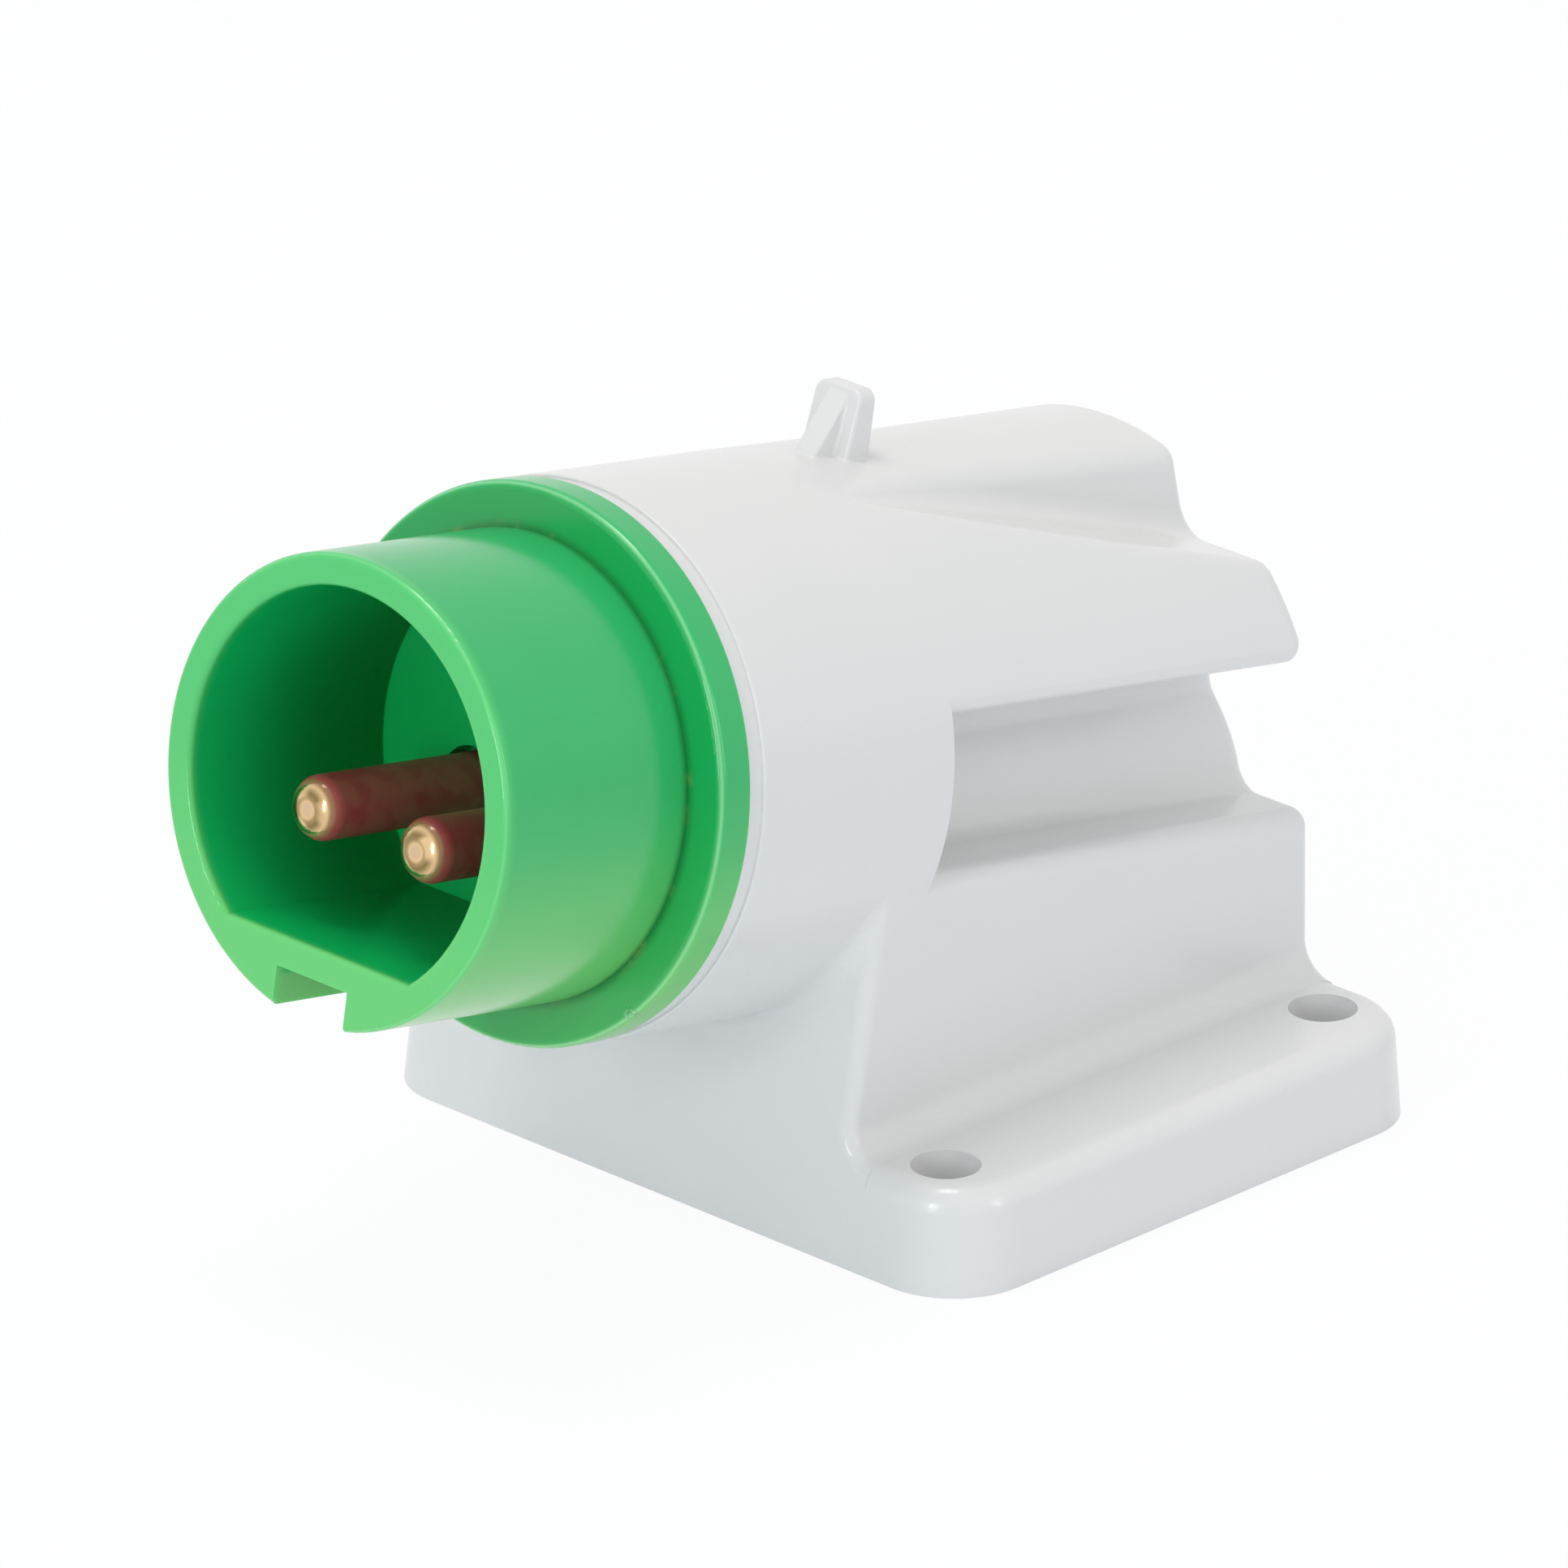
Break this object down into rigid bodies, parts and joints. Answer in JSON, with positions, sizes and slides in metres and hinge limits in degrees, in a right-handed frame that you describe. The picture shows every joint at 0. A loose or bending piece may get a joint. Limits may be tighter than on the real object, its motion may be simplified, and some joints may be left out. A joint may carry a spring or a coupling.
{
  "type": "angled wall inlet",
  "caption": "Angled surface-mounting wall inlet for an extra-low-voltage pin-and-sleeve connector: grey housing on a flanged base, green keyed shroud, brass contact pins.",
  "frame": {"origin": "centre of the base's wall face, at the middle of the four fixing holes", "axes": "+Z away from the wall, the mouth of the shroud faces -Y and is tipped 10 degrees away from the wall, +X to the right seen from the mouth"},
  "size_m": [0.076, 0.1083, 0.0728],
  "materials": {
    "housing": "light grey moulded thermoplastic, satin gloss",
    "insert": "green moulded thermoplastic, satin gloss",
    "contact": "turned brass, polished tip on a dull brown shank",
    "carrier": "black glass-filled polyamide",
    "screw": "zinc-plated steel",
    "seal": "black elastomer",
    "grommet": "grey soft elastomer"
  },
  "bodies": {
    "root": {"housing": "housing", "shroud_insert": "insert", "insert_seal": "seal", "contact_carrier": "carrier", "contact_pin_left": "contact", "contact_pin_right": "contact", "terminal_screws": "screw", "carrier_screws": "screw", "wall_gasket": "seal", "entry_grommet": "grommet"}
  },
  "joints": []
}
